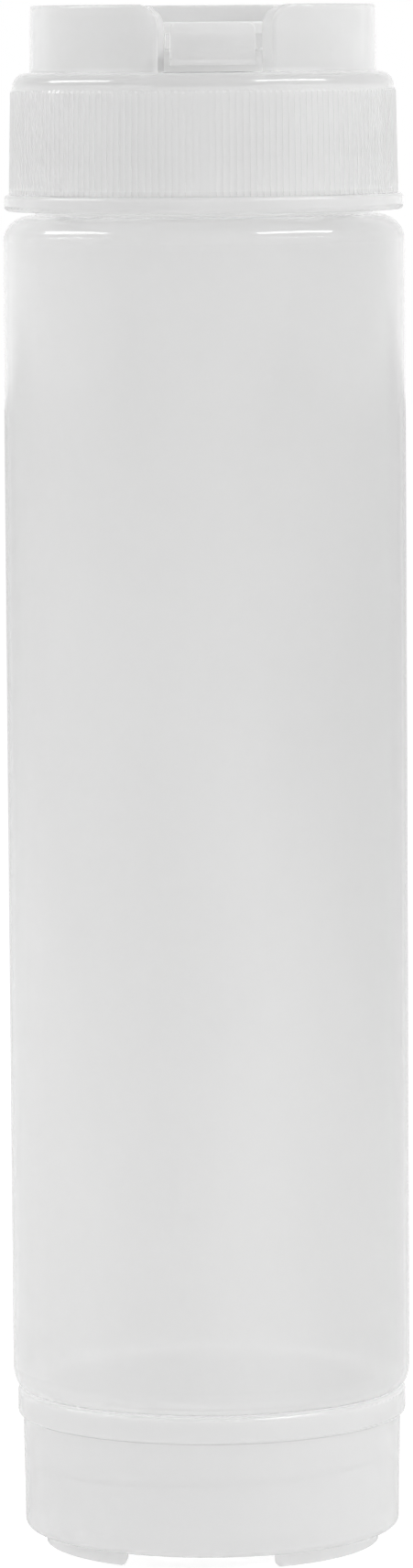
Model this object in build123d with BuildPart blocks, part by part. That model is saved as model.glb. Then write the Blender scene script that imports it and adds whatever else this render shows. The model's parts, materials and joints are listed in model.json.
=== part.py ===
from build123d import *
from math import asin, cos, degrees, hypot, radians, sin, sqrt
import os

# A squeeze bottle for sauces that is filled at one end and dispensed at the other.
# It stands on its refill cap. The dispensing cap is on top: a flip lid nests inside a ring wall,
# and the bottle can also stand upside down on that ring.
# Frame: origin on the ground under the axis, +Z up the bottle, -Y towards the thumb gap of the lid.
# All sizes are millimetres, all angles degrees.

os.makedirs("parts", exist_ok=True)

# ------------------------------------------------------------------ driving dimensions
# Bottle: a blown tube with the same neck at both ends. The upper shoulder is rounded, the lower one
# is a tight corner and a flat face, so that the bottle looks straight down to its refill cap.
barrel_radius = 35.0
barrel_length = 197.5
barrel_wall = 1.1
shoulder_height = 4.6
shoulder_reach = 5.5
corner_height = 3.9
corner_inner_reach = 0.4
neck_wall = 1.8
neck_length = 20.5
neck_lip_round = 0.5
bare_neck = 0.6
refill_bare_neck = 0.35

# Fits between the necks, the seals and the caps.
thread_room = 1.6
seal_thickness = 1.6
seal_side_gap = 0.2
seat_gap = 0.025

# Dispensing cap: deck, tapered skirt and flange.
deck_thickness = 2.4
deck_round = 2.7
skirt_wall = 2.15
skirt_draft = 0.35
cap_flange_inset = 0.2
cap_flange_height = 3.0
cap_flange_round = 1.0

# Grip ribs round the skirt of the dispensing cap.
rib_count = 180
rib_height = 0.25
rib_width = 0.62
rib_top_slope = 0.7

# Ring wall on the deck, which the inverted bottle stands on: two wings with a thumb gap between them.
ring_inset = 3.05
ring_height = 11.6
ring_wall = 2.3
ring_draft = 0.14
ring_rim_round = 0.7
ring_inner_round = 0.3
ring_foot_round = 0.3
thumb_gap_angle = 38.4
wing_return_depth = 2.3
wing_return_thickness = 2.2
wing_front_round = 4.0
wing_back_round = 1.2

# Flip lid: plate, thumb tab, plug, and the stretch of ring wall that the lid carries.
lid_wall_angle = 100.0
lid_recess = 3.0
lid_thickness = 2.0
lid_return_gap = 0.6
lid_side_gap = 0.6
lid_deck_gap = 0.5
lid_edge_round = 0.5
tab_side_gap = 1.1
tab_step = 0.5
tab_thickness = 2.2
tab_deck_gap = 1.2
tab_corner_round = 1.3
tab_edge_round = 0.4
tab_lip_reach = 0.6
tab_lip_height = 0.9
plug_side_gap = 1.5
plug_valve_gap = 0.35

# Moulded hinge between the deck and the lid.
hinge_width = 14.0
hinge_side_gap = 0.3
hinge_slot = 0.3
hinge_web = 0.3
hinge_set_back = 0.1
hinge_land_depth = 1.4
hinge_foot_thickness = 1.2
hinge_swing_gap = 0.3
lid_hang_gap = 0.6

# Slit valve, the boss that houses it and the ring that holds it in.
orifice_radius = 8.0
ledge_thickness = 1.4
boss_wall = 1.7
boss_height = 4.0
boss_round = 0.6
valve_flange_width = 2.8
valve_flange_thickness = 1.8
valve_side_gap = 0.2
valve_edge_thickness = 1.3
valve_centre_thickness = 0.8
valve_dish_depth = 1.2
valve_sleeve_wall = 0.35
valve_sleeve_gap = 0.5
valve_sleeve_drop = 0.2
slit_length = 9.0
slit_width = 0.12
retainer_wall = 2.2
retainer_flange_thickness = 1.2
retainer_flange_reach = 2.0

# Refill cap: floor, tapered skirt, flange and foot ring.
floor_thickness = 3.0
refill_skirt_wall = 1.85
refill_skirt_draft = 0.4
refill_flange_inset = 0.8
refill_flange_height = 4.7
refill_flange_round = 0.75
refill_edge_round = 1.3
foot_inset = 3.65
foot_wall = 2.2
foot_height = 2.7
foot_gap_angle = 52.0
foot_corner_round = 1.3
foot_gap_round = 0.6
refill_clocking = -8.7

# ------------------------------------------------------------------ heights, from the ground up
floor_bottom = foot_height
floor_top = floor_bottom + floor_thickness
low_neck_end = floor_top + seat_gap + seal_thickness + seat_gap
low_shoulder = low_neck_end + neck_length
low_barrel = low_shoulder + corner_height
high_barrel = low_barrel + barrel_length
high_shoulder = high_barrel + shoulder_height
high_neck_end = high_shoulder + neck_length
deck_bottom = high_neck_end + seat_gap + seal_thickness + seat_gap
deck_top = deck_bottom + deck_thickness
rim = deck_top + ring_height

refill_flange_top = low_shoulder - refill_bare_neck
refill_flange_bottom = refill_flange_top - refill_flange_height
cap_flange_bottom = high_shoulder + bare_neck
cap_flange_top = cap_flange_bottom + cap_flange_height
rib_top = deck_top - deck_round

lid_top = rim - lid_recess
lid_bottom = lid_top - lid_thickness
lid_wall_bottom = deck_top + lid_deck_gap
tab_bottom = deck_top + tab_deck_gap

hinge_land = deck_top - hinge_land_depth
hinge_axis_height = hinge_land + hinge_slot / 2
hinge_foot_bottom = hinge_land + hinge_slot
hinge_foot_top = hinge_foot_bottom + hinge_foot_thickness
chord_ledge = 2 * hinge_axis_height - hinge_foot_top - hinge_swing_gap

boss_top = deck_top + boss_height
ledge_bottom = boss_top - ledge_thickness
valve_top = ledge_bottom - seat_gap
valve_flange_bottom = ledge_bottom - valve_flange_thickness
valve_dish_top = ledge_bottom - valve_dish_depth
valve_centre_bottom = valve_dish_top - valve_centre_thickness
valve_head_bottom = valve_top - valve_edge_thickness
valve_roll_height = valve_flange_bottom - valve_sleeve_drop
retainer_bottom = deck_bottom - retainer_flange_thickness
plug_edge_bottom = ledge_bottom + plug_valve_gap
plug_centre_bottom = valve_dish_top + plug_valve_gap

# ------------------------------------------------------------------ radii, from the barrel and the neck
barrel_bore = barrel_radius - barrel_wall
neck_radius = barrel_radius - shoulder_reach
neck_bore = neck_radius - neck_wall
corner_reach = corner_inner_reach + barrel_wall
corner_radius = barrel_radius - corner_reach
cap_bore = neck_radius + thread_room
seal_outer = cap_bore - seal_side_gap
seal_inner = neck_bore + seal_side_gap

skirt_top_radius = cap_bore + skirt_wall
skirt_bottom_radius = skirt_top_radius + skirt_draft
cap_flange_radius = barrel_radius - cap_flange_inset
cap_flange_reach = cap_flange_radius - skirt_bottom_radius
ring_radius = skirt_top_radius - ring_inset
ring_rim_radius = ring_radius - ring_draft
ring_inner = ring_radius - ring_wall
return_inner = ring_inner - wing_return_depth

thumb_gap_half = thumb_gap_angle / 2
wing_return_angle = degrees(wing_return_thickness / return_inner)
wing_end = 180 - lid_wall_angle / 2 - degrees(lid_side_gap / ring_radius)
lid_wall_start = 180 - lid_wall_angle / 2

lid_radius = return_inner - lid_return_gap
tab_reach = lid_radius + tab_step
tab_half_width = return_inner * sin(radians(thumb_gap_half)) - tab_side_gap
hinge_axis_radius = (ring_radius + skirt_top_radius + rib_height + lid_hang_gap) / 2
hinge_edge = hinge_axis_radius - hinge_set_back
hinge_foot_half = degrees(asin(hinge_width / 2 / ring_radius))
hinge_recess_front = sqrt(ring_inner**2 - (hinge_width / 2) ** 2) - lid_side_gap
hinge_recess_width = hinge_width + 2 * hinge_side_gap

valve_bore = orifice_radius + valve_flange_width
valve_radius = valve_bore - valve_side_gap
sleeve_outer = orifice_radius - valve_side_gap
sleeve_middle = sleeve_outer - valve_sleeve_wall - valve_sleeve_gap / 2
valve_head_radius = sleeve_middle - valve_sleeve_gap / 2
sleeve_inner = valve_head_radius - valve_sleeve_wall
boss_radius = valve_bore + boss_wall
retainer_bore = valve_bore - retainer_wall
retainer_flange_radius = valve_bore + retainer_flange_reach
plug_radius = orifice_radius - plug_side_gap

refill_skirt_bottom_radius = cap_bore + refill_skirt_wall
refill_skirt_top_radius = refill_skirt_bottom_radius + refill_skirt_draft
refill_flange_radius = barrel_radius - refill_flange_inset
refill_flange_reach = refill_flange_radius - refill_skirt_top_radius
foot_radius = refill_skirt_bottom_radius - foot_inset
foot_gap_half_width = foot_radius * sin(radians(foot_gap_angle / 2))


def nearest(shapes, *point):
    """The vertex that lies closest to a point."""
    return shapes.sort_by_distance(point)[0]


def radial_plane(angle, height):
    """A plane that faces outwards at an angle from the front (-Y), with x along the ring."""
    outward = (sin(radians(angle)), -cos(radians(angle)), 0)
    along = (cos(radians(angle)), sin(radians(angle)), 0)
    return Plane(origin=(0, 0, height), x_dir=along, z_dir=outward)


def section_plane(angle):
    """A plane through the axis at an angle from the front, with x outwards and y up."""
    outward = (sin(radians(angle)), -cos(radians(angle)), 0)
    sideways = (-cos(radians(angle)), -sin(radians(angle)), 0)
    return Plane(origin=(0, 0, 0), x_dir=outward, z_dir=sideways)


def reach(edge):
    """How far the middle of an edge is from the bottle's axis."""
    return hypot((edge @ 0.5).X, (edge @ 0.5).Y)


def level(edge, height):
    """Whether an edge lies flat at a height."""
    box = edge.bounding_box()
    return abs(box.min.Z - height) < seat_gap and abs(box.max.Z - height) < seat_gap


# ------------------------------------------------------------------ bottle body
# One blown shell, turned. The wall follows both shoulders at an even thickness.
with BuildPart() as bottle_body:
    inner_reach = barrel_bore - neck_bore
    inner_height = shoulder_height - barrel_wall
    corner_inner_height = corner_height - barrel_wall
    with BuildSketch(Plane.XZ) as body_section:
        with BuildLine():
            Line((neck_radius, low_neck_end), (neck_radius, low_shoulder))
            Line((neck_radius, low_shoulder), (corner_radius, low_shoulder))
            EllipticalCenterArc((corner_radius, low_barrel), corner_reach, corner_height, 270, arc_size=90)
            Line((barrel_radius, low_barrel), (barrel_radius, high_barrel))
            EllipticalCenterArc((neck_radius, high_barrel), shoulder_reach, shoulder_height, 0, arc_size=90)
            Line((neck_radius, high_shoulder), (neck_radius, high_neck_end))
            Line((neck_radius, high_neck_end), (neck_bore, high_neck_end))
            Line((neck_bore, high_neck_end), (neck_bore, high_shoulder - barrel_wall))
            EllipticalCenterArc((neck_bore, high_barrel), inner_reach, inner_height, 90, arc_size=-90)
            Line((barrel_bore, high_barrel), (barrel_bore, low_barrel))
            EllipticalCenterArc(
                (corner_radius, low_barrel), corner_inner_reach, corner_inner_height, 0, arc_size=-90
            )
            Line((corner_radius, low_shoulder + barrel_wall), (neck_bore, low_shoulder + barrel_wall))
            Line((neck_bore, low_shoulder + barrel_wall), (neck_bore, low_neck_end))
            Line((neck_bore, low_neck_end), (neck_radius, low_neck_end))
        make_face()
        lip_corners = [
            nearest(body_section.vertices(), r, z, 0)
            for r in (neck_radius, neck_bore)
            for z in (low_neck_end, high_neck_end)
        ]
        fillet(lip_corners, min(neck_lip_round, neck_wall / 3))
    revolve(axis=Axis.Z)
bottle_body.part.label = "bottle_body"
export_step(bottle_body.part, "parts/bottle_body.step")

# ------------------------------------------------------------------ refill cap
# A cup with a smooth tapered skirt and a plain flange. It stands on a low foot ring, which has a gap
# at the front and the back so that a wet cap doesn't stick to the table.
with BuildPart() as refill_cap:
    with BuildSketch(Plane.XZ) as refill_section:
        with BuildLine():
            Polyline(
                (0, floor_bottom),
                (refill_skirt_bottom_radius, floor_bottom),
                (refill_skirt_top_radius, refill_flange_bottom),
                (refill_flange_radius, refill_flange_bottom),
                (refill_flange_radius, refill_flange_top),
                (cap_bore, refill_flange_top),
                (cap_bore, floor_top),
                (0, floor_top),
                close=True,
            )
        make_face()
        bottom_corner = nearest(refill_section.vertices(), refill_skirt_bottom_radius, floor_bottom, 0)
        fillet(bottom_corner, refill_edge_round)
        flange_corners = [
            nearest(refill_section.vertices(), refill_flange_radius, z, 0)
            for z in (refill_flange_bottom, refill_flange_top)
        ]
        fillet(flange_corners, min(refill_flange_round, refill_flange_reach * 0.9))
    revolve(axis=Axis.Z)
    with BuildSketch(Plane.XY) as foot_plan:
        Circle(foot_radius)
        Circle(foot_radius - foot_wall, mode=Mode.SUBTRACT)
    extrude(amount=floor_bottom + floor_thickness / 2)
    for side in (0, 180):
        with BuildSketch(radial_plane(refill_clocking + side, 0)) as foot_gap:
            with Locations((0, -foot_height)):
                Rectangle(2 * foot_gap_half_width, 2 * foot_height, align=(Align.CENTER, Align.MIN))
            upper_corners = [
                nearest(foot_gap.vertices(), x, foot_height, 0)
                for x in (-foot_gap_half_width, foot_gap_half_width)
            ]
            fillet(upper_corners, foot_gap_round)
        extrude(amount=foot_radius + foot_wall, mode=Mode.SUBTRACT)
    foot_ends = [
        edge
        for edge in refill_cap.edges().filter_by(GeomType.LINE)
        if level(edge, 0)
    ]
    fillet(foot_ends, foot_corner_round)
refill_cap.part.label = "refill_cap"
export_step(refill_cap.part, "parts/refill_cap.step")

# ------------------------------------------------------------------ one wing of the ring wall
# A drafted wall round the side of the deck. Its front end returns inwards towards the tab of the lid
# and is swept round at the top, where the thumb slides in.
wing_base = deck_top - deck_thickness / 3
with BuildPart() as wing:
    with BuildSketch(section_plane(thumb_gap_half)) as wing_section:
        with BuildLine():
            Polyline(
                (ring_inner, wing_base),
                (ring_radius, wing_base),
                (ring_rim_radius, rim),
                (ring_inner, rim),
                close=True,
            )
        make_face()
    revolve(axis=Axis.Z, revolution_arc=wing_end - thumb_gap_half)
    with BuildSketch(section_plane(thumb_gap_half)) as return_section:
        with Locations((return_inner, wing_base)):
            Rectangle(wing_return_depth + ring_wall / 2, rim - wing_base, align=(Align.MIN, Align.MIN))
    revolve(axis=Axis.Z, revolution_arc=wing_return_angle)
    with BuildSketch(radial_plane(thumb_gap_half, rim)):
        with Locations((-ring_wall, ring_wall)):
            Rectangle(
                wing_front_round + ring_wall, wing_front_round + ring_wall, align=(Align.MIN, Align.MAX)
            )
        with Locations((wing_front_round, -wing_front_round)):
            Circle(wing_front_round, mode=Mode.SUBTRACT)
    extrude(amount=ring_radius + ring_wall, mode=Mode.SUBTRACT)
    with BuildSketch(radial_plane(wing_end, rim)):
        with Locations((ring_wall, ring_wall)):
            Rectangle(wing_back_round + ring_wall, wing_back_round + ring_wall, align=(Align.MAX, Align.MAX))
        with Locations((-wing_back_round, -wing_back_round)):
            Circle(wing_back_round, mode=Mode.SUBTRACT)
    extrude(amount=ring_radius + ring_wall, mode=Mode.SUBTRACT)
    outer_edges = [
        edge
        for edge in wing.edges()
        if edge.center().Z > wing_base + seat_gap and abs(reach(edge) - ring_rim_radius) < ring_draft
    ]
    fillet(outer_edges, ring_rim_round)
    inner_edges = [
        edge for edge in wing.edges() if level(edge, rim) and abs(reach(edge) - ring_inner) < seat_gap
    ]
    fillet(inner_edges, ring_inner_round)

# ------------------------------------------------------------------ one grip rib
# A thin upright ridge with a sloped top, sunk a little into the skirt.
with BuildPart() as rib:
    with BuildSketch(section_plane(0)) as rib_side:
        with BuildLine():
            Polyline(
                (skirt_bottom_radius - rib_height, cap_flange_top - rib_height),
                (skirt_bottom_radius + rib_height, cap_flange_top - rib_height),
                (skirt_bottom_radius + rib_height, cap_flange_top),
                (skirt_top_radius + rib_height, rib_top - rib_top_slope),
                (skirt_top_radius - rib_height, rib_top + rib_top_slope / 2),
                close=True,
            )
        make_face()
    extrude(amount=rib_width / 2, both=True)

# ------------------------------------------------------------------ dispensing cap
# Flange, skirt, deck and valve boss are one turned form. The wings stand on the deck, the ribs on the
# skirt. At the back, the deck is recessed for the hinge foot of the lid.
with BuildPart() as dispensing_cap:
    with BuildSketch(Plane.XZ) as cap_section:
        with BuildLine():
            Polyline(
                (orifice_radius, boss_top),
                (boss_radius, boss_top),
                (boss_radius, deck_top),
                (skirt_top_radius, deck_top),
                (skirt_bottom_radius, cap_flange_top),
                (cap_flange_radius, cap_flange_top),
                (cap_flange_radius, cap_flange_bottom),
                (cap_bore, cap_flange_bottom),
                (cap_bore, deck_bottom),
                (valve_bore, deck_bottom),
                (valve_bore, ledge_bottom),
                (orifice_radius, ledge_bottom),
                close=True,
            )
        make_face()
        fillet(nearest(cap_section.vertices(), skirt_top_radius, deck_top, 0), deck_round)
        fillet(nearest(cap_section.vertices(), boss_radius, boss_top, 0), boss_round)
        flange_corners = [
            nearest(cap_section.vertices(), cap_flange_radius, z, 0)
            for z in (cap_flange_bottom, cap_flange_top)
        ]
        fillet(flange_corners, min(cap_flange_round, cap_flange_reach * 0.9))
    revolve(axis=Axis.Z)
    add(wing.part)
    mirror(wing.part, about=Plane.YZ)
    foot_edges = [
        edge
        for edge in dispensing_cap.edges()
        if level(edge, deck_top) and abs(reach(edge) - ring_radius) < ring_draft / 2
    ]
    fillet(foot_edges, ring_foot_round)
    with PolarLocations(0, rib_count):
        add(rib.part)
    with BuildSketch(Plane.XY.offset(hinge_land)):
        with Locations((0, hinge_recess_front)):
            Rectangle(hinge_recess_width, barrel_radius, align=(Align.CENTER, Align.MIN))
    extrude(amount=ring_height, mode=Mode.SUBTRACT)
    with BuildSketch(Plane.XY.offset(chord_ledge)):
        with Locations((0, hinge_edge)):
            Rectangle(hinge_recess_width, barrel_radius, align=(Align.CENTER, Align.MIN))
    extrude(amount=ring_height, mode=Mode.SUBTRACT)
dispensing_cap.part.label = "dispensing_cap"
export_step(dispensing_cap.part, "parts/dispensing_cap.step")

# ------------------------------------------------------------------ thumb tab of the lid
# A curved tongue with rounded upper corners and a small lip along its lower edge.
with BuildPart() as tab:
    with BuildSketch(Plane.XZ) as tab_outline:
        with Locations((0, tab_bottom)):
            Rectangle(2 * tab_half_width, lid_top - tab_bottom, align=(Align.CENTER, Align.MIN))
        tab_corners = [
            nearest(tab_outline.vertices(), x, lid_top, 0)
            for x in (-tab_half_width, tab_half_width)
        ]
        fillet(tab_corners, tab_corner_round)
    extrude(amount=tab_reach + tab_lip_reach)
    with BuildSketch(Plane.XY.offset(tab_bottom)):
        Circle(tab_reach)
        Circle(tab_reach - tab_thickness, mode=Mode.SUBTRACT)
    extrude(amount=lid_top - tab_bottom, mode=Mode.INTERSECT)
    tab_sides = [
        edge
        for edge in tab.edges().filter_by(Axis.Z)
        if reach(edge) > tab_reach - tab_thickness / 2
    ]
    fillet(tab_sides, tab_edge_round)
    with BuildSketch(Plane.XY.offset(tab_bottom)):
        Circle(tab_reach + tab_lip_reach)
        Circle(tab_reach - tab_thickness, mode=Mode.SUBTRACT)
        with Locations((0, -tab_reach)):
            Rectangle(2 * tab_half_width, 2 * tab_reach, mode=Mode.INTERSECT)
    extrude(amount=tab_lip_height)

# ------------------------------------------------------------------ flip lid
# The plate nests in the ring, and the tab hangs at its front. A plug under the middle holds the valve
# shut. The back carries the stretch of ring wall that rises over the hinge, so the lid is L-shaped
# and swings clear of the ring to hang behind the cap.
with BuildPart() as flip_lid:
    with BuildSketch(Plane.XY.offset(lid_bottom)):
        Circle(lid_radius)
    extrude(amount=lid_thickness)
    plate_rim = [edge for edge in flip_lid.edges() if level(edge, lid_top)]
    fillet(plate_rim, lid_edge_round)
    with BuildSketch(section_plane(lid_wall_start)):
        with Locations((plug_radius, lid_bottom)):
            Rectangle(ring_inner + ring_wall / 2 - plug_radius, lid_thickness, align=(Align.MIN, Align.MIN))
    revolve(axis=Axis.Z, revolution_arc=lid_wall_angle)
    with BuildSketch(section_plane(lid_wall_start)):
        with BuildLine():
            Polyline(
                (ring_inner, lid_wall_bottom),
                (ring_radius, lid_wall_bottom),
                (ring_rim_radius, rim),
                (ring_inner, rim),
                close=True,
            )
        make_face()
    revolve(axis=Axis.Z, revolution_arc=lid_wall_angle)
    wall_edges = [
        edge
        for edge in flip_lid.edges()
        if edge.center().Z > lid_wall_bottom + seat_gap and abs(reach(edge) - ring_rim_radius) < ring_draft
    ]
    fillet(wall_edges, ring_rim_round)
    inner_edges = [
        edge for edge in flip_lid.edges() if level(edge, rim) and abs(reach(edge) - ring_inner) < seat_gap
    ]
    fillet(inner_edges, ring_inner_round)
    # The wall runs down into the recess of the deck, and a foot reaches out to the hinge line.
    with BuildSketch(Plane.XY.offset(hinge_foot_bottom)):
        with BuildLine():
            foot_arc = CenterArc((0, 0), ring_inner, 90 - hinge_foot_half, 2 * hinge_foot_half)
            foot_edge = Line((-hinge_width / 2, hinge_edge), (hinge_width / 2, hinge_edge))
            Line(foot_arc @ 1, foot_edge @ 0)
            Line(foot_edge @ 1, foot_arc @ 0)
        make_face()
    extrude(amount=hinge_foot_thickness)
    with BuildSketch(Plane.XY.offset(hinge_foot_bottom)):
        with BuildLine():
            riser_inner = CenterArc((0, 0), ring_inner, 90 - hinge_foot_half, 2 * hinge_foot_half)
            riser_outer = CenterArc((0, 0), ring_radius, 90 - hinge_foot_half, 2 * hinge_foot_half)
            Line(riser_inner @ 0, riser_outer @ 0)
            Line(riser_inner @ 1, riser_outer @ 1)
        make_face()
    extrude(amount=lid_wall_bottom - hinge_foot_bottom + ring_wall / 2)
    add(tab.part)
    with BuildSketch(Plane.XZ):
        with BuildLine():
            TangentArc((0, plug_centre_bottom), (plug_radius, plug_edge_bottom), tangent=(1, 0))
            Polyline(
                (plug_radius, plug_edge_bottom),
                (plug_radius, lid_bottom + lid_thickness / 2),
                (0, lid_bottom + lid_thickness / 2),
                (0, plug_centre_bottom),
            )
        make_face()
    revolve(axis=Axis.Z)
flip_lid.part.label = "flip_lid"
export_step(flip_lid.part, "parts/flip_lid.step")

# ------------------------------------------------------------------ living hinge
# A thin web curled round the hinge axis, from the edge of the deck to the foot of the lid.
with BuildPart() as living_hinge:
    with BuildSketch(Plane.YZ.offset(-hinge_width / 2)):
        with Locations((hinge_axis_radius, hinge_axis_height)):
            Circle(hinge_slot / 2 + hinge_web)
            Circle(hinge_slot / 2, mode=Mode.SUBTRACT)
            Rectangle(
                hinge_slot + hinge_web,
                2 * (hinge_slot + hinge_web),
                align=(Align.MIN, Align.CENTER),
                mode=Mode.INTERSECT,
            )
        for root_height in (hinge_land - hinge_web, hinge_foot_bottom):
            with Locations((hinge_edge, root_height)):
                Rectangle(hinge_set_back, hinge_web, align=(Align.MIN, Align.MIN))
    extrude(amount=hinge_width)
living_hinge.part.label = "living_hinge"
export_step(living_hinge.part, "parts/living_hinge.step")

# ------------------------------------------------------------------ slit valve
# A silicone moulding: a flange that is clamped in the boss, and a dished head with a cross slit. A thin
# sleeve, rolled like a J in section, hangs the head in the flange and lets it pop out to dispense.
with BuildPart() as slit_valve:
    with BuildSketch(Plane.XZ):
        with BuildLine():
            TangentArc((0, valve_dish_top), (valve_head_radius, valve_top), tangent=(1, 0))
            Line((valve_head_radius, valve_top), (valve_head_radius, valve_roll_height))
            trough = CenterArc((sleeve_middle, valve_roll_height), valve_sleeve_gap / 2, 180, 180)
            Polyline(
                trough @ 1,
                (sleeve_outer - valve_sleeve_wall, valve_top),
                (valve_radius, valve_top),
                (valve_radius, valve_flange_bottom),
                (sleeve_outer, valve_flange_bottom),
                (sleeve_outer, valve_roll_height),
            )
            CenterArc((sleeve_middle, valve_roll_height), valve_sleeve_gap / 2 + valve_sleeve_wall, 180, 180)
            Line((sleeve_inner, valve_roll_height), (sleeve_inner, valve_head_bottom))
            TangentArc((0, valve_centre_bottom), (sleeve_inner, valve_head_bottom), tangent=(1, 0))
            Line((0, valve_centre_bottom), (0, valve_dish_top))
        make_face()
    revolve(axis=Axis.Z)
    with BuildSketch(Plane.XY.offset(valve_flange_bottom - valve_flange_thickness)):
        Rectangle(slit_length, slit_width)
        Rectangle(slit_width, slit_length)
    extrude(amount=ring_height, mode=Mode.SUBTRACT)
slit_valve.part.label = "slit_valve"
export_step(slit_valve.part, "parts/slit_valve.step")

# ------------------------------------------------------------------ valve retainer
# A stepped ring, pressed into the boss from below, that clamps the flange of the valve.
with BuildPart() as valve_retainer:
    with BuildSketch(Plane.XZ):
        with BuildLine():
            Polyline(
                (retainer_bore, retainer_bottom),
                (retainer_flange_radius, retainer_bottom),
                (retainer_flange_radius, deck_bottom),
                (valve_bore, deck_bottom),
                (valve_bore, valve_flange_bottom),
                (retainer_bore, valve_flange_bottom),
                close=True,
            )
        make_face()
    revolve(axis=Axis.Z)
valve_retainer.part.label = "valve_retainer"
export_step(valve_retainer.part, "parts/valve_retainer.step")

# ------------------------------------------------------------------ seals
# Two equal flat silicone rings, one between each lip of the bottle and its cap.
with BuildPart() as dispensing_seal:
    with BuildSketch(Plane.XY.offset(high_neck_end + seat_gap)):
        Circle(seal_outer)
        Circle(seal_inner, mode=Mode.SUBTRACT)
    extrude(amount=seal_thickness)
dispensing_seal.part.label = "dispensing_seal"
export_step(dispensing_seal.part, "parts/dispensing_seal.step")

with BuildPart() as refill_seal:
    with BuildSketch(Plane.XY.offset(floor_top + seat_gap)):
        Circle(seal_outer)
        Circle(seal_inner, mode=Mode.SUBTRACT)
    extrude(amount=seal_thickness)
refill_seal.part.label = "refill_seal"
export_step(refill_seal.part, "parts/refill_seal.step")
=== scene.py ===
# %% [markdown]
# # A squeeze bottle for sauces
# This lesson dresses a finished CAD model of a squeeze bottle. The bottle is a blown tube with a neck
# at each end. It stands on a refill cap, and a dispensing cap with a flip lid closes the top.
# The CAD part fixes every size and every joint. Here it gets its plastics, the threads that hold the
# caps, the soft hinge of the lid, and a plain studio to stand in.

# %% Load the fixed frame
import json
from math import cos, hypot, pi, radians, sin

import bpy
import bmesh
from mathutils import Matrix, Vector


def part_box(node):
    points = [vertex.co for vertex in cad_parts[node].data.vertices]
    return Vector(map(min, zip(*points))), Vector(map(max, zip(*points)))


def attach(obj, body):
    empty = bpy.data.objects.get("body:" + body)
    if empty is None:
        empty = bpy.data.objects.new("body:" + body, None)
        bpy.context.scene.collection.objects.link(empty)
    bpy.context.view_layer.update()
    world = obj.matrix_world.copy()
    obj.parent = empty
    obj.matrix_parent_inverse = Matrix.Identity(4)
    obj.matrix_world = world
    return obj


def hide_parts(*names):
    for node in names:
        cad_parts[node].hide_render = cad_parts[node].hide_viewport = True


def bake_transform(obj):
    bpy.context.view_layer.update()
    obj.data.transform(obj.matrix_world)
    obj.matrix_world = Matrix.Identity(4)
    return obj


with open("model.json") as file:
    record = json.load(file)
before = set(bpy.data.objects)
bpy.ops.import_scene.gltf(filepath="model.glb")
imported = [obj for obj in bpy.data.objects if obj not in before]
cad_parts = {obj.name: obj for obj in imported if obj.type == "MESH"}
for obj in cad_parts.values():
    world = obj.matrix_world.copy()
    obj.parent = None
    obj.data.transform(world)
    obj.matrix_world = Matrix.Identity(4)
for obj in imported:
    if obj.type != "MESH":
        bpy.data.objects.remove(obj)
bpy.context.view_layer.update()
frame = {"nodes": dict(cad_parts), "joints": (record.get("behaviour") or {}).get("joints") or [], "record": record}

MM = 0.001
scene = bpy.context.scene
print("nodes:", ", ".join(sorted(frame["nodes"])))

# %% [markdown]
# ## The camera
# A product like this is shot from a little over a metre with a long lens, so its sides stay almost
# parallel. The camera stands as high as the cap and looks slightly down. It is set up first, because
# everything after it is judged through it.

# %% Place the camera
CAMERA_DISTANCE = 1.300
CAMERA_HEIGHT = 0.265
CAMERA_TURN = radians(-4.2)
CAMERA_ROLL = radians(-0.39)
AIM_SHIFT = -0.0002
AIM_HEIGHT = 0.134
LENS = 171
SENSOR = 36


def stand_at(turn, distance, height):
    """A place round the bottle. A turn of 0 is straight in front, and it grows towards the right."""
    return Vector((distance * sin(turn), -distance * cos(turn), height))


def look_at(place, target, roll=0.0):
    """The matrix of a camera or lamp that stands at a place and points its -Z at a target."""
    facing = (target - place).to_track_quat("-Z", "Y").to_matrix().to_4x4()
    return Matrix.Translation(place) @ facing @ Matrix.Rotation(roll, 4, "Z")


camera_data = bpy.data.cameras.new("camera")
camera_data.lens = LENS
camera_data.sensor_fit = "VERTICAL"
camera_data.sensor_height = SENSOR
camera = bpy.data.objects.new("camera", camera_data)
scene.collection.objects.link(camera)
camera_place = stand_at(CAMERA_TURN, CAMERA_DISTANCE, CAMERA_HEIGHT)
camera.matrix_world = look_at(camera_place, Vector((AIM_SHIFT, 0, AIM_HEIGHT)), CAMERA_ROLL)
scene.camera = camera
scene.view_settings.view_transform = "Standard"
print("camera at", [round(v, 3) for v in camera.location])

# %% [markdown]
# ## Node trees as plain formulas
# A material is a formula over a surface: a colour that drifts, a roughness that rises where the
# plastic is scuffed. A Geometry Nodes tree is a formula over points. Nodes wired one by one hide the
# formula. So a small class wraps a node's output and lets ordinary arithmetic add the Math nodes,
# and one method makes every other kind of node.

# %% Wrap a node's output so that it can be used in a formula
class Value:
    """One output of a node: a number, a colour, a vector or a shape on its way through a tree."""

    def __init__(self, tree, output):
        self.tree = tree
        self.output = output

    def maths(self, operation, first, second):
        return self.tree.node("ShaderNodeMath", {"operation": operation}, {0: first, 1: second})

    def __add__(self, other):
        return self.maths("ADD", self, other)

    def __radd__(self, other):
        return self.maths("ADD", other, self)

    def __sub__(self, other):
        return self.maths("SUBTRACT", self, other)

    def __rsub__(self, other):
        return self.maths("SUBTRACT", other, self)

    def __mul__(self, other):
        return self.maths("MULTIPLY", self, other)

    def __rmul__(self, other):
        return self.maths("MULTIPLY", other, self)

    def __truediv__(self, other):
        return self.maths("DIVIDE", self, other)


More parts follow.
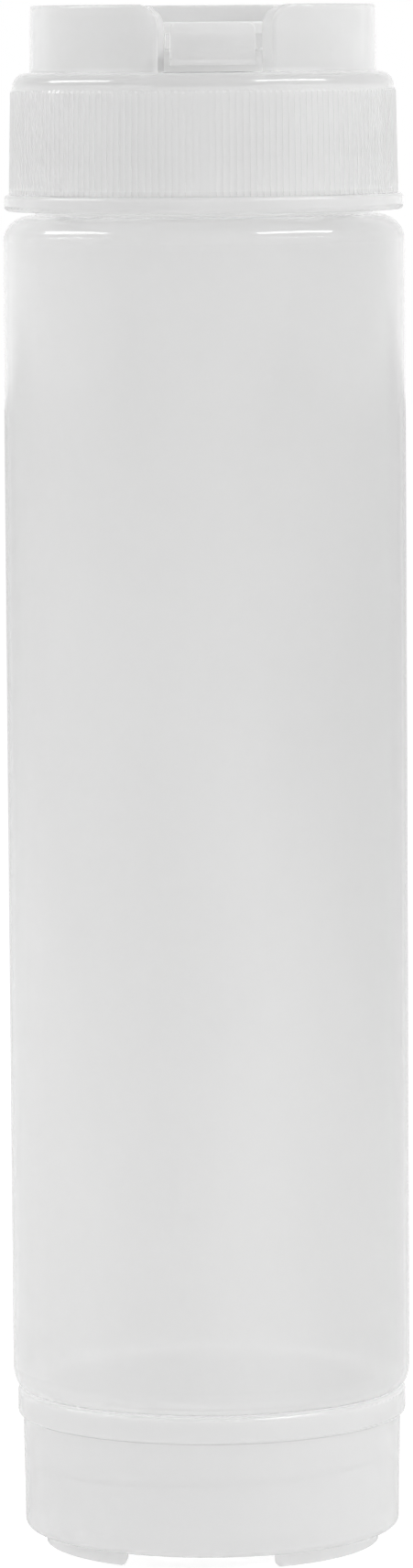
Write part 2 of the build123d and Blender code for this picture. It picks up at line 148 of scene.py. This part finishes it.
class Tree:
    """A node tree that is built up in code."""

    def __init__(self, tree):
        self.tree = tree

    def node(self, kind, settings=None, sockets=None, out=0):
        """Adds a node and returns one of its outputs.

        The settings are set first, and then each socket gets its value or its link.
        """
        made = self.tree.nodes.new(kind)
        for name, setting in (settings or {}).items():
            setattr(made, name, setting)
        for name, value in (sockets or {}).items():
            if isinstance(value, Value):
                self.tree.links.new(value.output, made.inputs[name])
            else:
                made.inputs[name].default_value = value
        return None if out is None else Value(self, made.outputs[out])


print("formulas ready")

# %% [markdown]
# ## Milky plastic
# The bottle and both caps are undyed plastic. It is cloudy because the melt cools into tiny crystals:
# light enters, scatters, and leaves again somewhere else, so the wall glows a little where it is thin
# and where it is seen edge-on. Three effects give that look. Subsurface scattering carries the light
# along inside the wall. Alpha says how much one skin of the wall covers, and the rest of what is
# behind shows through it. And most of the light from lamps and sky goes on through a wall, because a
# milky wall passes far more light than it passes of a clear picture. Without that, every gap and well
# would be dark. Rough transmission is the other way to do it, but it is noisy in walls this thin.

# %% A material in terms of its surface
class Finish(Tree):
    """One material, built up as formulas and set on a Principled surface at the end."""

    def __init__(self, name):
        self.material = bpy.data.materials.new(name)
        self.material.use_nodes = True
        super().__init__(self.material.node_tree)
        self.tree.nodes.clear()

    def place(self):
        """Where a point of the surface is, in metres in the bottle's own frame."""
        return self.node("ShaderNodeTexCoord", out="Object")

    def stretched(self, place, across, along):
        """The same place with its scale changed, so that a pattern is drawn out along the bottle."""
        return self.node("ShaderNodeMapping", {}, {"Vector": place, "Scale": (across, across, along)})

    def noise(self, place, size, detail=2.0):
        """Soft noise from 0 to 1, whose features are about as large as size, in metres."""
        sockets = {"Vector": place, "Scale": 1 / size, "Detail": detail}
        return self.node("ShaderNodeTexNoise", {}, sockets)

    def rise(self, value, low, high):
        """A smooth step from 0 at low to 1 at high."""
        sockets = {"Value": value, "From Min": low, "From Max": high}
        return self.node("ShaderNodeMapRange", {"interpolation_type": "SMOOTHSTEP"}, sockets)

    def part(self, place, axis):
        """One of the three numbers of a place: 0 for x, 1 for y, 2 for z."""
        return self.node("ShaderNodeSeparateXYZ", {}, {0: place}, out=axis)

    def between(self, share, first, second):
        """A colour between two colours."""
        first, second = [end if isinstance(end, Value) else (*end, 1) for end in (first, second)]
        sockets = {0: share, 6: first, 7: second}
        return self.node("ShaderNodeMix", {"data_type": "RGBA"}, sockets, out=2)

    def surface(self, constants, varying, passes=0.0):
        """Ends the material in a Principled surface. Constants are set on its own sockets.

        passes is the share of the light from lamps and sky that goes on through the surface. The eye
        still meets the whole surface, because a milky wall blurs what is behind it.
        """
        sockets = {**constants, **varying}
        shader = self.node("ShaderNodeBsdfPrincipled", {}, sockets)
        if passes:
            clear = self.node("ShaderNodeBsdfTransparent")
            lit = self.node("ShaderNodeMixShader", {}, {0: passes, 1: shader, 2: clear})
            seen = self.node("ShaderNodeLightPath", out="Is Camera Ray")
            shader = self.node("ShaderNodeMixShader", {}, {0: seen, 1: lit, 2: shader})
        self.node("ShaderNodeOutputMaterial", {}, {"Surface": shader}, out=None)
        return self.material


print("materials can be written as formulas")

# %% A recipe for milky plastic
LIGHT_PASSES = 0.90
PLASTIC_IOR = 1.5
COAT_IOR = 1.6
COAT_ROUGHNESS = 0.06
EVEN_RADIUS = (1.0, 1.0, 1.0)
NOISE_LOW, NOISE_HIGH = 0.3, 0.7
GRAIN_HEIGHT = 0.02 * MM
HAZE = 0.06


def grey(level):
    return (level, level, level)


def looked_up(rule, finish, place):
    """The value of a rule at a place. A rule is a number, or a formula over the place."""
    return rule(finish, place) if callable(rule) else rule


def milky_plastic(
    name, pale, deep, roughness, cloud, grain, cover, shade=1.0, relief=0.35, scatter=1.0 * MM, coat=1.0
):
    """Undyed plastic. Its tone drifts from pale to deep in clouds, and a fine grain breaks the gloss.

    pale and deep are shades of grey, and cloud and grain are the sizes of the two patterns.
    roughness, cover, shade and coat are rules. cover is how much one skin of the wall hides, and
    shade leaves the tone as it is at 1 and is black at 0. relief is how strong the grain is, and
    scatter is how far the light spreads inside the wall.
    """
    finish = Finish(name)
    place = finish.place()
    drift = finish.noise(finish.stretched(place, 1.0, 0.35), cloud, detail=1.5)
    fleck = finish.noise(place, cloud / 12, detail=3.0)
    cloudy = finish.rise(drift * 0.8 + fleck * 0.2, NOISE_LOW, NOISE_HIGH)
    tone = finish.between(cloudy, grey(deep), grey(pale))
    if callable(shade):
        tone = finish.between(shade(finish, place), grey(0.0), tone)
    haze = finish.noise(place, cloud / 3, detail=2.0)
    skin = finish.noise(place, grain, detail=2.0)
    bump = finish.node(
        "ShaderNodeBump", {}, {"Strength": relief, "Distance": GRAIN_HEIGHT, "Height": skin}
    )
    constants = {
        "IOR": PLASTIC_IOR,
        "Subsurface Weight": 1.0,
        "Subsurface Radius": EVEN_RADIUS,
        "Coat Roughness": COAT_ROUGHNESS,
        "Coat IOR": COAT_IOR,
        "Subsurface Scale": scatter,
    }
    varying = {
        "Base Color": tone,
        "Roughness": looked_up(roughness, finish, place) + (haze - 0.5) * HAZE,
        "Normal": bump,
        "Coat Weight": looked_up(coat, finish, place),
        "Alpha": looked_up(cover, finish, place),
    }
    return finish.surface(constants, varying, passes=LIGHT_PASSES)


print("milky plastic passes", LIGHT_PASSES, "of the light")

# %% [markdown]
# ## What changes over one moulding
# A moulding isn't the same all over. The grip ribs of the dispensing cap are satin, so they lack the
# outer gloss, and the skirt behind them is backed by the neck and its thread. The ring wall has
# nothing behind it, and is clearer. The flange, the heads of the ribs and the edge of the deck get
# painted shade, where gloss and the light from above would make them too bright. The ribbed band and
# the ring wall are a little deeper in tone. The bottle is painted darker towards the top and on its +X
# side and paler at its foot, and painted light lifts the shade in the groove under the cap. How much
# each place differs is given here, and isn't measured on a moulding. The darker +X side is a guess:
# it belongs to the material, so it turns with the bottle, and DARK_SIDE_DEPTH = 0 takes it away.
# Each of these is a smooth step over the height or the width of the piece.

# %% The caps, the bottle and the lid as rules over the place
# Where each smooth step starts and ends. All are heights, but for the last two, which run across the
# bottle and from front to back.
FLANGE_TOP = (237.4 * MM, 238.3 * MM)
RIBS_START = (237.5 * MM, 239.0 * MM)
RIB_HEADS = (249.0 * MM, 254.5 * MM)
RIBS_END = (254.5 * MM, 256.0 * MM)
DECK_EDGE = (255.0 * MM, 256.6 * MM)
DECK_TOP = (257.9 * MM, 258.5 * MM)
RING_FOOT = (257.0 * MM, 259.5 * MM)
WALL_FOOT = (20 * MM, 60 * MM)
WALL_CLIMB = (40 * MM, 235 * MM)
SHOULDER_TOP = (232.3 * MM, 233.8 * MM)
DARK_SIDE = (0 * MM, 34 * MM)
TAB_TO_BACK = (-20 * MM, 0 * MM)

# How much deeper in tone each place is, as a share of the whole tone.
# FLANGE_DEPTH, RIB_HEADS_DEPTH and DECK_DEPTH are painted shade against gloss and light from above.
FLANGE_DEPTH = 0.06
RIBS_DEPTH = 0.013
RIB_HEADS_DEPTH = 0.02
DECK_DEPTH = 0.10
RING_DEPTH = 0.06
WALL_FOOT_DEPTH = 0.013
WALL_CLIMB_DEPTH = 0.045
# SHOULDER_GAIN is painted light: it makes the groove under the cap paler.
SHOULDER_GAIN = 0.035
DARK_SIDE_DEPTH = 0.11
LID_BACK_DEPTH = 0.02

GLOSSY, SATIN = 0.15, 0.40
RIBS_COAT = 0.2
SKIRT_COVER, RING_COVER = 0.80, 0.60


def above_deck(finish, place):
    """0 on the skirt of the dispensing cap and 1 on the ring wall that stands on its deck."""
    return finish.rise(finish.part(place, 2), *RING_FOOT)


def ribbed_band(finish, place):
    """1 on the ribbed band of the skirt and 0 below and above it."""
    height = finish.part(place, 2)
    return finish.rise(height, *RIBS_START) - finish.rise(height, *RIBS_END)


def cap_roughness(finish, place):
    """The ribbed band is satin, and the rest of the cap is glossy."""
    return GLOSSY + (SATIN - GLOSSY) * ribbed_band(finish, place)


def cap_coat(finish, place):
    """The outermost gloss, most of which the ribbed band lacks."""
    return 1.0 - (1.0 - RIBS_COAT) * ribbed_band(finish, place)


def cap_cover(finish, place):
    """The skirt is backed by the neck and its thread, and looks solid. The ring wall is clearer."""
    return SKIRT_COVER - (SKIRT_COVER - RING_COVER) * above_deck(finish, place)


def cap_shade(finish, place):
    """Painted shade on the flange, rib heads and deck edge, and a deeper tone on the ring wall."""
    height = finish.part(place, 2)
    deck = finish.rise(height, *DECK_EDGE) - finish.rise(height, *DECK_TOP)
    ring = above_deck(finish, place)
    heads = finish.rise(height, *RIB_HEADS) - ring
    flange = 1.0 - finish.rise(height, *FLANGE_TOP)
    ribs = ribbed_band(finish, place)
    upper = RING_DEPTH * ring + DECK_DEPTH * deck + RIB_HEADS_DEPTH * heads
    return 1.0 - upper - RIBS_DEPTH * ribs - FLANGE_DEPTH * flange


def wall_shade(finish, place):
    """The wall is darker towards the top and on its +X side, and paler at its foot.

    Painted light lifts the shade at the top of the shoulder, in the groove under the cap.
    """
    height = finish.part(place, 2)
    upper = WALL_CLIMB_DEPTH * finish.rise(height, *WALL_CLIMB)
    lower = WALL_FOOT_DEPTH * finish.rise(height, *WALL_FOOT)
    # Painted light in the groove under the cap.
    shoulder = SHOULDER_GAIN * finish.rise(height, *SHOULDER_TOP)
    side = DARK_SIDE_DEPTH * finish.rise(finish.part(place, 0), *DARK_SIDE)
    return 1.0 - lower - upper + shoulder - side


def lid_shade(finish, place):
    """The lid's wall at the back is a little deeper in tone than its tab in front."""
    return 1.0 - LID_BACK_DEPTH * finish.rise(finish.part(place, 1), *TAB_TO_BACK)


bottle_plastic = milky_plastic(
    "bottle_plastic",
    pale=0.912,
    deep=0.882,
    roughness=0.11,
    cloud=30 * MM,
    grain=0.6 * MM,
    cover=0.66,
    shade=wall_shade,
    relief=0.10,
)
cap_plastic = milky_plastic(
    "cap_plastic",
    pale=0.875,
    deep=0.845,
    roughness=cap_roughness,
    cloud=18 * MM,
    grain=0.4 * MM,
    cover=cap_cover,
    shade=cap_shade,
    scatter=2.5 * MM,
    coat=cap_coat,
)
# The refill cap is paler than the dispensing cap partly in its own tone and partly as painted light, which makes
# up for the dimmer light near the floor.
refill_plastic = milky_plastic(
    "refill_plastic", pale=0.99, deep=0.97, roughness=0.16, cloud=18 * MM, grain=0.4 * MM, cover=0.80
)
lid_plastic = milky_plastic(
    "lid_plastic",
    pale=0.878,
    deep=0.848,
    roughness=0.14,
    cloud=15 * MM,
    grain=0.4 * MM,
    cover=0.64,
    shade=lid_shade,
)
plastics = (bottle_plastic, cap_plastic, refill_plastic, lid_plastic)
print("plastics:", ", ".join(plastic.name for plastic in plastics))

# %% [markdown]
# ## Silicone
# The seals and the slit valve are moulded from clear silicone rubber, which stays soft and springs
# back. It is cloudier than the plastic, and dust and a matt mould leave it with a dull skin.

# %% The silicones, and a finish for every node
SILICONE_IOR = 1.41
SILICONE_COVER = 0.8
SILICONE_SCATTER = 3.0 * MM
SILICONE_CLOUD = 4.0 * MM
DUST_SIZE = 0.5 * MM
DUST_HEIGHT = 0.03 * MM


def silicone(name, pale, deep):
    """Soft clear silicone: cloudier than the plastic and with a dull skin."""
    finish = Finish(name)
    place = finish.place()
    cloudy = finish.rise(finish.noise(place, SILICONE_CLOUD, detail=3.0), NOISE_LOW, NOISE_HIGH)
    dust = finish.noise(place, DUST_SIZE, detail=2.0)
    bump = finish.node(
        "ShaderNodeBump", {}, {"Strength": 0.3, "Distance": DUST_HEIGHT, "Height": dust}
    )
    constants = {
        "IOR": SILICONE_IOR,
        "Subsurface Weight": 1.0,
        "Subsurface Radius": EVEN_RADIUS,
        "Subsurface Scale": SILICONE_SCATTER,
        "Alpha": SILICONE_COVER,
    }
    varying = {
        "Base Color": finish.between(cloudy, deep, pale),
        "Roughness": 0.42 + dust * 0.12,
        "Normal": bump,
    }
    return finish.surface(constants, varying, passes=LIGHT_PASSES)


seal_silicone = silicone("seal_silicone", (0.84, 0.84, 0.83), (0.76, 0.76, 0.75))
valve_silicone = silicone("valve_silicone", (0.86, 0.86, 0.85), (0.78, 0.78, 0.77))

FINISHES = {
    "bottle_body": bottle_plastic,
    "refill_cap": refill_plastic,
    "dispensing_cap": cap_plastic,
    "valve_retainer": cap_plastic,
    "living_hinge": lid_plastic,
    "flip_lid": lid_plastic,
    "slit_valve": valve_silicone,
    "dispensing_seal": seal_silicone,
    "refill_seal": seal_silicone,
}
for node_name, material in FINISHES.items():
    mesh = frame["nodes"][node_name].data
    mesh.materials.clear()
    mesh.materials.append(material)
print("finished nodes:", len(FINISHES))

# %% [markdown]
# ## Screw threads
# A thread is one ridge that climbs round a cylinder. On a blown neck it is low and rounded, it runs
# for about a turn and a half, and it fades in and out so that the cap starts easily. The cap carries
# the same ridge turned inwards, half a pitch away, and the two slide past each other as the cap
# turns. Geometry Nodes suit this, because the ridge is one small profile drawn along a path that
# follows a rule. The tree below takes its sizes as named inputs, so all four threads share it.

# %% A Geometry Nodes tree with named sizes
class Shape(Tree):
    """A Geometry Nodes tree whose sizes are named inputs."""

    def __init__(self, name, sizes):
        super().__init__(bpy.data.node_groups.new(name, "GeometryNodeTree"))
        sockets = self.tree.interface
        sockets.new_socket("Geometry", in_out="INPUT", socket_type="NodeSocketGeometry")
        self.keys = {}
        for label, kind in sizes.items():
            self.keys[label] = sockets.new_socket(label, in_out="INPUT", socket_type=kind).identifier
        sockets.new_socket("Geometry", in_out="OUTPUT", socket_type="NodeSocketGeometry")
        self.given = self.tree.nodes.new("NodeGroupInput")

    def size(self, label):
        return Value(self, self.given.outputs[label])

    def finish(self, geometry, material):
        """Ends the tree: instances become real geometry, and the surface gets its material."""
        real = self.node("GeometryNodeRealizeInstances", {}, {"Geometry": geometry})
        dressed = self.node("GeometryNodeSetMaterial", {}, {"Geometry": real, "Material": material})
        self.node("NodeGroupOutput", {}, {0: dressed}, out=None)

    def grow(self, name, values):
        """Runs the tree once with these sizes, and returns its result as a plain mesh object."""
        seed = bpy.data.objects.new(name + "_seed", bpy.data.meshes.new(name + "_seed"))
        scene.collection.objects.link(seed)
        modifier = seed.modifiers.new("grow", "NODES")
        modifier.node_group = self.tree
        for label, value in values.items():
            modifier[self.keys[label]] = value
        ready = seed.evaluated_get(bpy.context.evaluated_depsgraph_get())
        mesh = bpy.data.meshes.new_from_object(ready)
        bpy.data.objects.remove(seed)
        piece = bpy.data.objects.new(name, mesh)
        scene.collection.objects.link(piece)
        return piece


print("shapes can be grown from named sizes")

# %% The thread: a small profile drawn along a climbing path
THREAD_SIZES = (
    "Radius", "Pitch", "Turns", "Start Height", "Start Angle", "Depth", "Sink", "Root Width",
    "Crest Width", "Fade Turns",
)
STEPS_PER_TURN = 120


def thread_shape(name, material):
    """The ridge of a thread. A positive depth stands outwards, and a negative one inwards."""
    shape = Shape(name, {label: "NodeSocketFloat" for label in THREAD_SIZES})
    steps = shape.node("FunctionNodeFloatToInt", {}, {0: shape.size("Turns") * STEPS_PER_TURN})
    line = shape.node("GeometryNodeMeshLine", {}, {"Count": steps + 1})
    turn = shape.node("GeometryNodeInputIndex") / STEPS_PER_TURN
    angle = turn * (2 * pi) + shape.size("Start Angle")
    climb = turn * shape.size("Pitch") + shape.size("Start Height")
    across = shape.node("ShaderNodeMath", {"operation": "COSINE"}, {0: angle}) * shape.size("Radius")
    along = shape.node("ShaderNodeMath", {"operation": "SINE"}, {0: angle}) * shape.size("Radius")
    point = shape.node("ShaderNodeCombineXYZ", {}, {"X": across, "Y": along, "Z": climb})
    placed = shape.node("GeometryNodeSetPosition", {}, {"Geometry": line, "Position": point})
    path = shape.node("GeometryNodeMeshToCurve", {}, {"Mesh": placed})
    upright = shape.node("GeometryNodeSetCurveNormal", {"mode": "Z_UP"}, {"Curve": path})

    # The corners of the profile: x is how far it stands out, y how far it reaches along the axis.
    corners = {}
    for number, width, reach in (
        (1, "Root Width", 0.0 - shape.size("Sink")),
        (2, "Crest Width", shape.size("Depth")),
        (3, "Crest Width", shape.size("Depth")),
        (4, "Root Width", 0.0 - shape.size("Sink")),
    ):
        half = shape.size(width) * (0.5 if number < 3 else -0.5)
        corners[f"Point {number}"] = shape.node("ShaderNodeCombineXYZ", {}, {"X": reach, "Y": half})
    profile = shape.node("GeometryNodeCurvePrimitiveQuadrilateral", {"mode": "POINTS"}, corners)

    # The ridge fades in and out over a short stretch at each end.
    left = shape.size("Turns") - turn
    nearest_end = shape.node("ShaderNodeMath", {"operation": "MINIMUM"}, {0: turn, 1: left})
    fade = shape.node(
        "ShaderNodeMapRange",
        {"interpolation_type": "SMOOTHSTEP"},
        {"Value": nearest_end, "From Max": shape.size("Fade Turns"), "To Min": 0.03},
    )
    ridge = shape.node(
        "GeometryNodeCurveToMesh",
        {},
        {"Curve": upright, "Profile Curve": profile, "Scale": fade, "Fill Caps": True},
    )
    shape.finish(ridge, material)
    return shape


bottle_thread = thread_shape("bottle_thread", bottle_plastic)
cap_thread = thread_shape("cap_thread", cap_plastic)
print("thread sizes:", ", ".join(THREAD_SIZES))

# %% Grow the four threads from the sizes of the frame
joints = {joint["name"]: joint for joint in frame["joints"]}
couplings = {pair["joint"]: pair for pair in frame["record"]["behaviour"]["couplings"]}
PITCH = couplings["dispensing_cap_lift"]["ratio"] * 2 * pi
THREAD_DEPTH = 1.1 * MM
THREAD_SINK = 0.3 * MM
ROOT_WIDTH = 2.4 * MM
CREST_WIDTH = 1.1 * MM
THREAD_TURNS = 1.6
FADE_TURNS = 0.12
NECK_RADIUS = 29.5 * MM
CAP_BORE = 31.1 * MM
LIP_TO_THREAD = 2.6 * MM


def recalculated(piece):
    """Points all faces of a closed piece outwards."""
    work = bmesh.new()
    work.from_mesh(piece.data)
    bmesh.ops.recalc_face_normals(work, faces=work.faces)
    work.to_mesh(piece.data)
    work.free()
    return piece


def add_thread(name, shape, body, slot, start_height, radius, depth):
    """One thread. It rides on the body whose wall carries it."""
    sink = THREAD_SINK if depth > 0 else -THREAD_SINK
    piece = shape.grow(
        name,
        {
            "Radius": radius,
            "Pitch": PITCH,
            "Turns": THREAD_TURNS,
            "Start Height": start_height,
            "Start Angle": 0.0,
            "Depth": depth,
            "Sink": sink,
            "Root Width": ROOT_WIDTH,
            "Crest Width": CREST_WIDTH,
            "Fade Turns": FADE_TURNS,
        },
    )
    recalculated(piece)
    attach(piece, body)
    reaches = [hypot(v.co.x, v.co.y) / MM for v in piece.data.vertices]
    heights = [v.co.z / MM for v in piece.data.vertices]
    print(name, "from radius", round(min(reaches), 2), "to", round(max(reaches), 2))
    print(name, "from height", round(min(heights), 2), "to", round(max(heights), 2))
    return piece


bottle_low, bottle_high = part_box("bottle_body")
climb = THREAD_TURNS * PITCH
upper_start = bottle_high.z - LIP_TO_THREAD - climb
lower_start = bottle_low.z + LIP_TO_THREAD
on_neck = (NECK_RADIUS, THREAD_DEPTH)
in_cap = (CAP_BORE, -THREAD_DEPTH)
THREADS = {
    "upper_neck_thread": (bottle_thread, "bottle", "bottle_plastic", upper_start, *on_neck),
    "lower_neck_thread": (bottle_thread, "bottle", "bottle_plastic", lower_start, *on_neck),
    "dispensing_cap_thread": (
        cap_thread, "dispensing_cap", "cap_plastic", upper_start - PITCH / 2, *in_cap
    ),
    "refill_cap_thread": (
        cap_thread, "refill_cap", "cap_plastic", lower_start + PITCH / 2, *in_cap
    ),
}
for thread_name, details in THREADS.items():
    add_thread(thread_name, *details)

# %% [markdown]
# ## The living hinge
# The lid and the cap are moulded as one, and a thin web joins them. When the lid opens, the web bends
# and nothing slides. The CAD web is a plain stand-in for the closed state. This piece has the same
# section, drawn across the CAD web's width with enough rows to bend, and takes the CAD web's place.

# %% The hinge web
HINGE_HEIGHT = joints["lid_hinge"]["pos_m"][2]
HINGE_REACH = joints["lid_hinge"]["pos_m"][1]
WEB_ROWS = 16
WEB_COLUMNS = 28
WEB_SLOT = 0.15 * MM
WEB_THICKNESS = 0.3 * MM
WEB_ROOT = 0.1 * MM


def web_outline():
    """The web's section, as pairs of an inner and an outer point, from the cap to the lid."""
    root = HINGE_REACH - WEB_ROOT
    reaches = (WEB_SLOT, WEB_SLOT + WEB_THICKNESS)
    pairs = [[(root, HINGE_HEIGHT - reach) for reach in reaches]]
    for row in range(WEB_ROWS + 1):
        angle = -pi / 2 + pi * row / WEB_ROWS
        pairs.append(
            [(HINGE_REACH + reach * cos(angle), HINGE_HEIGHT + reach * sin(angle)) for reach in reaches]
        )
    pairs.append([(root, HINGE_HEIGHT + reach) for reach in reaches])
    return pairs


def make_web():
    """The section drawn across the width of the CAD web, and closed at both sides."""
    low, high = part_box("living_hinge")
    pairs = web_outline()
    loop = [inner for inner, outer in pairs] + [outer for inner, outer in reversed(pairs)]
    count = len(loop)
    work = bmesh.new()
    rings = []
    for column in range(WEB_COLUMNS + 1):
        x = low.x + (high.x - low.x) * column / WEB_COLUMNS
        rings.append([work.verts.new((x, y, z)) for y, z in loop])
    for first, second in zip(rings, rings[1:]):
        for i in range(count):
            work.faces.new((first[i], first[(i + 1) % count], second[(i + 1) % count], second[i]))
    half = count // 2
    for ring in (rings[0], rings[-1]):
        for i in range(half - 1):
            work.faces.new((ring[i], ring[i + 1], ring[count - 2 - i], ring[count - 1 - i]))
    bmesh.ops.recalc_face_normals(work, faces=work.faces)
    mesh = bpy.data.meshes.new("hinge_web")
    work.to_mesh(mesh)
    work.free()
    mesh.materials.append(lid_plastic)
    web = bpy.data.objects.new("hinge_web", mesh)
    scene.collection.objects.link(web)
    return web


hinge_web = make_web()
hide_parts("living_hinge")
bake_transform(hinge_web)
print("hinge web:", len(hinge_web.data.polygons), "faces")

# %% [markdown]
# ## Studio
# The bottle stands on white paper. Two strips of soft light, high on its left and its right, leave
# the two bright streaks on the shoulder, and their bearings say where on the shoulder those lie. The
# world fills in the rest. It is weaker from above than from the sides, so that flat tops and the
# shoulder don't burn out, and a touch stronger on the right. A shiny surface sees it white.

# %% Floor, world and lamps
FILL = 0.87
GLOSS_FILL = 1.0
TOP_DROP = 0.32
RIGHT_DROP = -0.04
PAPER_WHITE = 0.96
PAPER_GLOW = 0.38
FLOOR_SIZE = 8.0
LAMP_DISTANCE = 1.2
SHOULDER_HEIGHT = 0.232


def make_floor():
    """A sheet of white paper, which glows a little for the camera so that it joins the white behind."""
    mesh = bpy.data.meshes.new("floor")
    half = FLOOR_SIZE / 2
    corners = [(-half, -half, 0), (half, -half, 0), (half, half, 0), (-half, half, 0)]
    mesh.from_pydata(corners, [], [(0, 1, 2, 3)])
    floor = bpy.data.objects.new("floor", mesh)
    scene.collection.objects.link(floor)
    finish = Finish("floor_paper")
    ray = finish.node("ShaderNodeLightPath", out="Is Camera Ray")
    glow = finish.node("ShaderNodeEmission", {}, {"Color": (1, 1, 1, 1), "Strength": PAPER_GLOW})
    paper = finish.node("ShaderNodeBsdfDiffuse", {}, {"Color": (*grey(PAPER_WHITE), 1)})
    both = finish.node("ShaderNodeAddShader", {}, {0: paper, 1: glow})
    shown = finish.node("ShaderNodeMixShader", {}, {0: ray, 1: paper, 2: both})
    finish.node("ShaderNodeOutputMaterial", {}, {"Surface": shown}, out=None)
    mesh.materials.append(finish.material)
    return floor


def make_world():
    """A soft fill on the bottle, and pure white where the camera or a clear or shiny surface looks."""
    world = bpy.data.worlds.new("studio")
    world.use_nodes = True
    world.node_tree.nodes.clear()
    tree = Tree(world.node_tree)
    camera_ray = tree.node("ShaderNodeLightPath", out="Is Camera Ray")
    through_ray = tree.node("ShaderNodeLightPath", out="Is Transmission Ray")
    gloss_ray = tree.node("ShaderNodeLightPath", out="Is Glossy Ray")
    either = tree.node("ShaderNodeMath", {"operation": "MAXIMUM"}, {0: camera_ray, 1: through_ray})
    aim = tree.node("ShaderNodeTexCoord", out="Generated")
    height = tree.node("ShaderNodeSeparateXYZ", {}, {0: aim}, out="Z")
    right = tree.node("ShaderNodeSeparateXYZ", {}, {0: aim}, out="X")
    up = tree.node("ShaderNodeMath", {"operation": "MAXIMUM"}, {0: height, 1: 0.0})
    fill = FILL - up * TOP_DROP - right * RIGHT_DROP
    strength = fill + either * (1.0 - fill) + gloss_ray * (GLOSS_FILL - FILL)
    sky = tree.node("ShaderNodeBackground", {}, {"Color": (1, 1, 1, 1), "Strength": strength})
    tree.node("ShaderNodeOutputWorld", {}, {"Surface": sky}, out=None)
    scene.world = world


def bearing(turn, lift):
    """The direction of a turn from the camera's side and a lift over the floor, both in degrees."""
    return stand_at(CAMERA_TURN + radians(turn), cos(radians(lift)), sin(radians(lift)))


def soft_box(name, near, far, width, glow):
    """A strip of soft light that faces the bottle. near and far are the bearings of its two ends."""
    ends = [bearing(*near) * LAMP_DISTANCE, bearing(*far) * LAMP_DISTANCE]
    middle = (ends[0] + ends[1]) / 2
    along = (ends[1] - ends[0]).normalized()
    facing = middle.normalized()
    lamp_data = bpy.data.lights.new(name, "AREA")
    lamp_data.shape = "RECTANGLE"
    lamp_data.size = (ends[1] - ends[0]).length
    lamp_data.size_y = width
    lamp_data.energy = glow * pi * lamp_data.size * width
    lamp = bpy.data.objects.new(name, lamp_data)
    scene.collection.objects.link(lamp)
    sides = Matrix((along, facing.cross(along), facing)).transposed().to_4x4()
    lamp.matrix_world = Matrix.Translation(middle + Vector((0, 0, SHOULDER_HEIGHT))) @ sides
    print(name, round(lamp_data.size, 2), "m long,", round(lamp_data.energy, 2), "W")
    return lamp


make_floor()
make_world()
soft_box("left_box", near=(-74, 48), far=(-117, 29), width=0.18, glow=4.4)
soft_box("right_box", near=(41, 53), far=(95, 40), width=0.15, glow=7.0)
print("studio ready")
